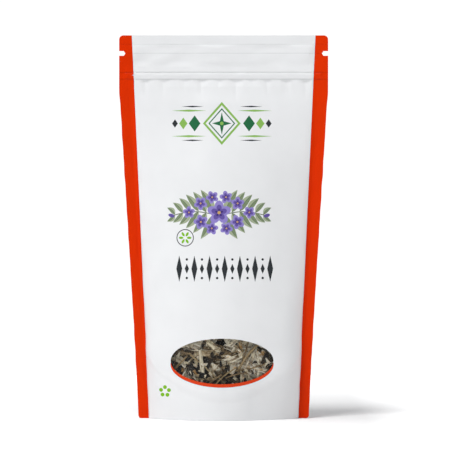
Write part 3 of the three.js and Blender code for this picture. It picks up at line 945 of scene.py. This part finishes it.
def gusset_face(inset, lift):
    """The gusset's outer or inner face as a grid of points, from the front hem to the back one."""
    distance = COLUMNS
    top = seal_arc(np.abs(distance))
    level = top + lift
    legs = {side: film_skin(side, inset) for side in (FRONT, BACK)}
    hollow = (legs[BACK](distance, top)[:, 1] - legs[FRONT](distance, top)[:, 1]) / 2
    bend = np.minimum(GUSSET_BEND, 0.7 * hollow)
    halves = []
    ends = []
    for side in legs:
        rows = [legs[side](distance, np.maximum(0.02, t * (level - bend))) for t in np.linspace(0, 1, 10)]
        start = rows[-1]
        corner = np.stack([start[:, 0], start[:, 1], level], axis=1)
        end = corner - np.array([0, side, 0]) * bend[:, None]
        for t in np.linspace(0, 1, 6)[1:]:
            rows.append((1 - t) ** 2 * start + 2 * t * (1 - t) * corner + t * t * end)
        halves.append(rows)
        ends.append(end)
    bridge = []
    for t in np.linspace(0, 1, 13)[1:-1]:
        row = lerp(ends[0], ends[1], t)
        row[:, 2] -= GUSSET_SAG * (1 - (2 * t - 1) ** 2) * smooth(hollow / 30)
        bridge.append(row)
    rows = halves[0] + bridge + halves[1][::-1]
    return np.vstack(rows), len(rows), len(distance)


def build_gusset():
    outer, rows, columns = gusset_face(GUSSET_INSET, SKIN / 2)
    inner, _, _ = gusset_face(GUSSET_INSET + SKIN, -SKIN / 2)
    skins, rim = sheet_faces(rows, columns)
    points, faces = np.vstack([outer, inner]), np.vstack([skins, rim])
    return mesh_object("gusset_film", points, faces, [FILMS["white"]], flat_from=len(skins))


# The zipper: a rib on one tape and a channel on the other, closed into each other

# Each corner is a height and then either a depth inside the film's outer face, or None and a
# reach from the middle to the strip's own side. A tape's outer face follows the film.
TAPE = [
    (243.9, 0.32), (244.3, 0.32), (246.3, 0.32), (247.4, 0.32), (247.8, 0.34), (248.3, 0.34),
    (248.9, 0.32), (249.6, 0.32), (249.6, 0.6),
]
RIB = TAPE + [
    (246.0, 0.5), (246.0, None, 0.05), (246.35, None, 0.05), (245.95, None, -0.25),
    (245.15, None, -0.25), (244.75, None, 0.05), (245.1, None, 0.05), (245.1, 0.5), (243.9, 0.5),
]
CHANNEL = TAPE + [
    (247.0, 0.5), (247.0, None, -0.3), (246.45, None, -0.3), (246.45, None, -0.12),
    (246.65, None, -0.12), (246.65, 0.5), (244.45, 0.5), (244.45, None, -0.12),
    (244.65, None, -0.12), (244.65, None, -0.3), (244.1, None, -0.3), (244.1, 0.5), (243.9, 0.5),
]


def zipper_strip(name, side, profile):
    """A strip with this profile, swept along the zipper."""
    distance = np.linspace(-ZIP_REACH, ZIP_REACH, 60)
    corners = []
    for z, depth, *reach in profile:
        corner = film_skin(side, depth or 0.0)(distance, np.full_like(distance, z))
        if reach:
            corner[:, 1] = side * reach[0] + sway(distance, corner[:, 2])
        corners.append(corner)
    points = np.stack(corners, axis=1).reshape(-1, 3)
    end = np.arange(len(profile))
    last = len(points) - len(profile)
    faces = tube_faces(len(distance), len(profile)).tolist() + [end[::-1], end + last]
    if side == FRONT:
        faces = [face[::-1] for face in faces]
    return mesh_object(name, points, faces, [ZIPPER_PLASTIC], flat_from=0)


# The cut sage


def rotated(a, b, angle):
    return a * np.cos(angle) - b * np.sin(angle), a * np.sin(angle) + b * np.cos(angle)


def across_and_up(side, distance, z):
    """Places on the plain film, with its unit directions across, up and outward."""
    across, up = steps_over(partial(plain_film, side), distance, z, 0.5)
    across = unit(across)
    outward = unit(np.cross(across, up) * -side)
    return plain_film(side, distance, z), across, np.cross(outward, across), outward


HEAP_REACH = 53.5
HEAP_FLOOR = 14.5
HEAP_CLEARANCE = 1.1
FLOOR_CLEARANCE = 1.2


def keep_in_pouch(points, extra=0.0):
    """Moves points under the films, over the gusset and below the heap's top."""
    x, y, z = points.reshape(-1, 3).T.copy()
    x = np.clip(x, -HEAP_REACH, HEAP_REACH)
    z = np.clip(z, HEAP_FLOOR, HEAP_TOP + 1.5)
    along = np.abs(film_distance(x, z))
    z = np.maximum(z, seal_arc(along) + FLOOR_CLEARANCE + extra)
    steep = np.cos(bulge_angle(z) * slope_share(np.minimum(along, HALF_SPAN)))
    clearance = HEAP_CLEARANCE + extra - np.minimum(folds(np.sign(x) * along, z), 0)
    room = GAP / 2 + FILM + bulge_at(along, z) - clearance / np.maximum(steep, 0.4)
    y = np.clip(y, -np.maximum(room, 0.3), np.maximum(room, 0.3))
    return np.stack([x, y, z], axis=1).reshape(points.shape)


def into_pouch(grids):
    """How far each leaf moves as a whole so that the film doesn't press it flat."""
    push = (keep_in_pouch(grids) - grids)[..., 1].reshape(len(grids), -1)
    most = np.where(push.max(axis=1) > -push.min(axis=1), push.max(axis=1), push.min(axis=1))
    return 0.95 * most[:, None, None, None] * np.array([0.0, 1.0, 0.0])


TAN_TONE = 1.0
PALEST_TONE = 0.76
LIGHT_TONES = (0.62, 0.15)  # mean and spread
# near-black leaves: partly the sage's own dark brown, partly painted shade deep in the heap
DARK_AND_SHADE_TONES = (0.1, 0.1)
LEAF_SLANT = (-0.55, 0.8)


def stacked(parts, shape):
    return np.stack([np.broadcast_to(part, shape) for part in parts], axis=-1)


def leaf_grids(draw, place, ranges, grid, tilt, roll, light_share=0.55, tan_share=0.0):
    """The middle surfaces of cut leaves, each a grid of points, and their shading places.

    place is (side, distances, heights), and ranges are those of the leaves' depth, length and half
    width. tilt is how far they lean out of the film's plane and roll how far they curl."""
    side, distance, z = place
    n = len(distance)
    rows, columns = grid

    def uniform(low, high):
        return draw.uniform(low, high, (n, 1, 1))

    depth, length, half_width = (uniform(*limits) for limits in ranges)
    # t runs along each leaf and s across it. u, v and h are along, across and up from it.
    t = np.linspace(0, 1, rows)[None, :, None]
    s = np.linspace(-1, 1, columns)[None, None, :]
    ragged = draw.uniform(-1, 1, (n, rows, columns))
    first, last = uniform(0.03, 0.3), uniform(0.6, 0.97)
    share = lerp(first, last, t)
    width = half_width * np.sin(np.pi * share**0.8) ** 0.7 * (1 + 0.06 * ragged)
    # The leaf curls up to one side, one edge more than the other, and bends along its length
    bias = uniform(-1, 1)
    curl = uniform(0.25, 1.0) * roll * np.where(uniform(0, 1) < 0.7, 1, -1) * (1 + 0.6 * bias * s)
    u = (t - 0.5) * length + uniform(-0.6, 0.6) * s * width * (2 * t - 1) ** 2
    v = width * np.sin(curl * s) / curl
    h = -width * (1 - np.cos(curl * s)) / np.abs(curl) * np.sign(curl)
    bend = uniform(-1, 1) * roll * 0.45
    h = h - length * bend * (t - 0.5) ** 2
    v = v + length * uniform(-0.22, 0.22) * (t - 0.5) ** 2
    # It is folded along its midrib, waved and twisted
    h = h + width * uniform(-0.9, 0.9) * np.sqrt(s * s + 0.01)
    wave = np.sin(uniform(3, 8) * t + uniform(0, 6.3)) * np.sin(uniform(1.5, 4) * s + uniform(0, 6.3))
    h = h + half_width * uniform(0.05, 0.28) * wave + 0.02 * half_width * ragged
    twist = uniform(-1.1, 1.1) * roll * (t - 0.5)
    v, h = rotated(v, h, twist)
    # It lies tilted, turned one way more often than the others, and at its depth
    lean, heel = uniform(-tilt, tilt), uniform(-tilt, tilt)
    u, h = rotated(u, h, lean)
    v, h = rotated(v, h, heel)
    turn = draw.normal(*LEAF_SLANT, (n, 1, 1)) + np.where(uniform(0, 1) < 0.5, np.pi, 0)
    right, above = rotated(u, v, turn)
    centre, across, up, outward = (a[:, None, None, :] for a in across_and_up(side, distance, z))
    centre = centre - outward * depth[..., None]
    points = centre + right[..., None] * across + above[..., None] * up + h[..., None] * outward
    light = uniform(0, 1) < light_share
    tone = np.where(light, draw.normal(*LIGHT_TONES, (n, 1, 1)), draw.normal(*DARK_AND_SHADE_TONES, (n, 1, 1)))
    tone = np.where(uniform(0, 1) < tan_share, TAN_TONE, np.clip(tone, 0, PALEST_TONE))
    return points, stacked([t * length + uniform(0, 9), s, tone], (n, rows, columns))


def thin_grids(grids, thickness):
    """Closed thin leaves from grids of points: points, normals, skin faces and rim faces."""
    n, rows, columns, _ = grids.shape
    normal = np.cross(np.gradient(grids, axis=2), np.gradient(grids, axis=1))
    normal /= np.maximum(np.linalg.norm(normal, axis=-1, keepdims=True), 1e-9)
    lift = normal * thickness / 2
    points = np.stack([grids + lift, grids - lift], axis=1).reshape(-1, 3)
    normals = np.stack([normal, -normal], axis=1).reshape(-1, 3)
    starts = np.arange(n)[:, None, None] * 2 * rows * columns
    return points, normals, *[(faces + starts).reshape(-1, 4) for faces in sheet_faces(rows, columns)]


UNDERSIDE = np.array([0.0, 0.0, 0.16])  # a leaf's felted underside is paler by this tone


def build_leaves(name, batches, thickness=0.28):
    """One piece from batches of leaf grids and their shading places."""
    parts = []
    start = 0
    for grids, places in batches:
        points, normals, skins, rims = thin_grids(keep_in_pouch(grids + into_pouch(grids)), thickness)
        spots = np.stack([places, places + UNDERSIDE], axis=1).reshape(-1, 3)
        parts.append((points, normals, spots, skins + start, rims + start))
        start += len(points)
    points, normals, spots, skins, rims = map(np.concatenate, zip(*parts))
    faces = np.vstack([skins, rims])
    leaves = mesh_object(name, points, faces, [DRIED_LEAF], None, normals, len(skins))
    point_attribute(leaves, "leaf_place", "FLOAT_VECTOR", spots)
    return leaves


def window_batch(draw, count, *looks):
    """Leaves that lie within sight through the window, evenly spread."""
    turn = draw.uniform(0, 1, 2) + np.arange(count)[:, None] * (0.7549, 0.5698)
    distance, z = ((turn % 1 - 0.5) * (88, 42) + (0, WINDOW_CENTRE)).T
    return leaf_grids(draw, (FRONT, distance, z), *looks)


def heap_top(x):
    return HEAP_TOP - HEAP_DOME * (np.asarray(x) / 60) ** 2


def heap_batch(draw, side, count):
    """Leaves elsewhere on the heap, out of sight in the sealed pouch."""
    distance = draw.uniform(-50, 50, count)
    low = seal_arc(np.abs(distance)) + 5
    z = lerp(low, heap_top(distance) - 4, draw.uniform(0, 1, count))
    ranges = [(1.5, 6.0), (14, 28), (3.0, 6.5)]
    return leaf_grids(draw, (side, distance, z), ranges, (5, 3), 0.5, 1.0)


def top_batch(draw, count):
    """Leaves on top of the heap."""
    distance = draw.uniform(-40, 40, count)
    z = heap_top(distance) - draw.uniform(1, 8, count)
    ranges = [(4, 22), (10, 22), (2.5, 5.0)]
    return leaf_grids(draw, (FRONT, distance, z), ranges, (5, 3), 1.3, 1.0)


def build_stems(draw, count, sides=7, rings=6):
    """Cut stems near the window: slightly bent rods with flat ends."""
    distance = draw.uniform(-40, 40, count)
    z = WINDOW_CENTRE + draw.uniform(-19, 19, count)
    centre, across, up, outward = (a[:, None, :] for a in across_and_up(FRONT, distance, z))

    def uniform(low, high):
        return draw.uniform(low, high, (count, 1, 1))

    radius = uniform(0.4, 0.85)
    t = np.linspace(-0.5, 0.5, rings)[None, :, None]
    length = uniform(9, 34)
    turn = uniform(0, np.pi)
    bow = length * uniform(-0.3, 0.3) * t**2
    way = np.cos(turn) * across + np.sin(turn) * up
    aside = np.cos(turn) * up - np.sin(turn) * across
    dip = uniform(1.0, 4.5) + length * uniform(-0.12, 0.12) * t
    axis = keep_in_pouch(centre + way * length * t + aside * bow - outward * dip, extra=0.9)
    ring = np.linspace(0, 2 * np.pi, sides, endpoint=False)[None, None, :, None]
    swell = radius[..., None] * (1 + 0.12 * draw.uniform(-1, 1, (count, rings, 1, 1)))
    spokes = np.cos(ring) * aside[:, :, None, :] + np.sin(ring) * outward[:, :, None, :]
    points = (axis[:, :, None, :] + swell * spokes).reshape(-1, 3)
    end = np.arange(sides)
    starts = np.arange(count)[:, None, None] * rings * sides
    faces = (tube_faces(rings, sides) + starts).reshape(-1, 4).tolist()
    smooth_faces = len(faces)
    for start in starts.ravel():
        faces += [start + end[::-1], start + (rings - 1) * sides + end]
    stems = mesh_object("cut_stems", points, faces, [DRIED_STEM], flat_from=smooth_faces)
    spots = stacked([(t + 0.5) * length, ring[..., 0], uniform(0, 1)], (count, rings, sides))
    point_attribute(stems, "leaf_place", "FLOAT_VECTOR", spots)
    return stems


CORE_DEPTH = 8.0
CORE_REACH = 50.0


def build_core():
    """The crumbled middle of the heap, behind the leaves that show, with a near-black colour that is
    painted shade.
    """
    rows, columns = 45, 41
    distance = np.linspace(-CORE_REACH, CORE_REACH, columns)
    along = np.abs(distance)
    top, foot = heap_top(distance) - 5, seal_arc(along) + 3

    def depth(d, z):
        return np.minimum(CORE_DEPTH, 0.6 * bulge_at(np.abs(d), z)) + 0.8 * waves(d, z, 6, 20.0)

    skins = []
    for side in (FRONT, BACK):
        skin = film_skin(side, depth)
        skins.append(np.vstack([skin(distance, lerp(foot, top, t)) for t in np.linspace(0, 1, rows)]))
    faces = np.concatenate(sheet_faces(rows, columns))
    return mesh_object("leaf_core", np.vstack(skins), faces, [LEAF_DUST_AND_SHADE])


def clear_oval():
    """The window's clear film, which laps under the panel all round."""
    lapped = window_oval(grow=WINDOW_LAP)
    return film_sheet("oval_film", FRONT, lapped, base="clear", outer=CLEAR_OUTER, inner=CLEAR_INNER)


# The pieces

FILMS = {ink: film_material("film_" + ink, srgb(code)) for ink, code in INKS.items() if ink != "white"}
FILMS["white"] = film_material("film_white", srgb(INKS["white"]), gloss=0.3)
FILMS["clear"] = clear_film_material()
ZIPPER_PLASTIC = zipper_material()
DRIED_LEAF = leaf_material()
DRIED_STEM = stem_material()
LEAF_DUST_AND_SHADE = core_material()

draw = np.random.default_rng(20817)
# the deepest batch (first) is all dark leaves, painted shade for the heap's depths; the nearer batches
# are mostly light
window_leaves = [
    window_batch(draw, 60, [(7.0, 11.0), (14, 26), (2.4, 4.2)], (9, 5), 0.3, 1.4, 0.0),
    window_batch(draw, 66, [(2.8, 7.5), (11, 24), (1.3, 2.8)], (9, 7), 0.4, 1.9, 0.66),
    window_batch(draw, 44, [(1.6, 3.4), (15, 30), (1.3, 2.9)], (12, 9), 0.2, 1.7, 0.9),
    window_batch(draw, 70, [(2.0, 5.5), (2.5, 6), (0.6, 1.4)], (4, 3), 0.9, 1.2, 0.6, 0.15),
]
heap_leaves = [heap_batch(draw, FRONT, 170), heap_batch(draw, BACK, 200), top_batch(draw, 80)]
outline = panel_outline()
pieces = [
    (film_sheet("front_film", FRONT, outline, front_zones(), window_oval()), "front_panel", "white_film"),
    (film_sheet("back_film", BACK, outline, side_bands()), "back_panel", "white_film"),
    (clear_oval(), "window_film", "window_film"),
    (build_gusset(), "bottom_gusset", "gusset_film"),
    (zipper_strip("zipper_rib_strip", BACK, RIB), "zipper_rib", "zipper"),
    (zipper_strip("zipper_channel_strip", FRONT, CHANNEL), "zipper_channel", "zipper"),
    (build_leaves("window_leaves", window_leaves), "dried_sage", "dried_sage"),
    (build_leaves("heap_leaves", heap_leaves), "dried_sage", "dried_sage"),
    (build_stems(draw, 14), "dried_sage", "dried_sage"),
    (build_core(), "dried_sage", "dried_sage"),
]
for piece, replaced, slot in pieces:
    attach(piece, "root")
    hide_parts(replaced)


# Floor, lights and camera, in metres

FLOOR_CORNERS = [(-1, -0.5, -0.0002), (1, -0.5, -0.0002), (1, 0.7, -0.0002), (-1, 0.7, -0.0002)]
# the floor's painted glow is weakest round this place
SHADOW_MIDDLE = (0.12, 0.10, 0.0)
SHADOW_END = (0.102, 0.145)  # the floor's painted glow ends its shadow between these places across
LEFT_FILL, RIGHT_FILL = 0.6, 0.21
BACKDROP = 1.05
KEY_PLACE = (-0.37, -0.79, 1.70)
KEY_AIM = (0.0, 0.0, 0.13)
KEY_SIZE = 0.55
KEY_POWER = 18.7
WHITE = (1.0, 1.0, 1.0, 1.0)


def build_floor():
    """A white floor with painted light: its glow grows away from the pouch's shadow, and a painted glow
    past SHADOW_END ends the shadow.
    """
    mesh = bpy.data.meshes.new("floor")
    mesh.from_pydata(FLOOR_CORNERS, [], [(0, 1, 2, 3)])
    material, tree, shader, place = new_material("floor_with_painted_light")
    shadow = {0: place, 1: SHADOW_MIDDLE}
    away = node(tree, "ShaderNodeVectorMath", shadow, operation="DISTANCE").outputs["Value"]
    painted_shadow_end = between(tree, axes(tree, place)[0], *SHADOW_END, 0.0, 0.36)
    set_inputs(tree, shader, {
        "Base Color": (0.92, 0.92, 0.92, 1.0),
        "Roughness": 0.9,
        "Specular IOR Level": 0.0,
        "Emission Color": WHITE,
        # painted light: emission weakest round the shadow, and stronger past its painted end
        "Emission Strength": maths(tree, "ADD", between(tree, away, 0.1, 0.6, 0.1, 0.8), painted_shadow_end),
    })
    mesh.materials.append(material)
    add_object("floor", mesh)


def build_sky():
    """Soft fill, stronger from the left, and a white backdrop."""
    world = bpy.data.worlds.new("studio")
    bpy.context.scene.world = world
    world.use_nodes = True
    tree = world.node_tree
    fill = tree.nodes["Background"]
    rightward = axes(tree, node(tree, "ShaderNodeTexCoord").outputs["Generated"])[0]
    strength = between(tree, rightward, -1.0, 1.0, LEFT_FILL, RIGHT_FILL)
    set_inputs(tree, fill, {"Strength": strength, "Color": (0.99, 1.0, 1.02, 1.0)})
    backdrop = node(tree, "ShaderNodeBackground", {"Color": WHITE, "Strength": BACKDROP})
    seen = node(tree, "ShaderNodeLightPath").outputs["Is Camera Ray"]
    both = node(tree, "ShaderNodeMixShader", {0: seen, 1: fill.outputs[0], 2: backdrop.outputs[0]})
    tree.links.new(both.outputs[0], tree.nodes["World Output"].inputs["Surface"])


def build_key_light():
    light = bpy.data.lights.new("key", "AREA")
    light.size = KEY_SIZE
    light.energy = KEY_POWER
    lamp = add_object("key", light)
    lamp.location = KEY_PLACE
    lamp.rotation_euler = (Vector(KEY_AIM) - Vector(KEY_PLACE)).to_track_quat("-Z", "Y").to_euler()


build_floor()
build_sky()
build_key_light()

camera = add_object("camera", bpy.data.cameras.new("camera"))
camera.location = [v * MM for v in CAMERA_PLACE]
camera.rotation_euler = (math.pi / 2, 0.0, 0.0)
camera.data.angle = 2 * math.atan(VIEW_WIDTH / 2 / -CAMERA_PLACE[1])
camera.data.clip_end = 100.0
bpy.context.scene.camera = camera
bpy.context.scene.view_settings.view_transform = "Standard"
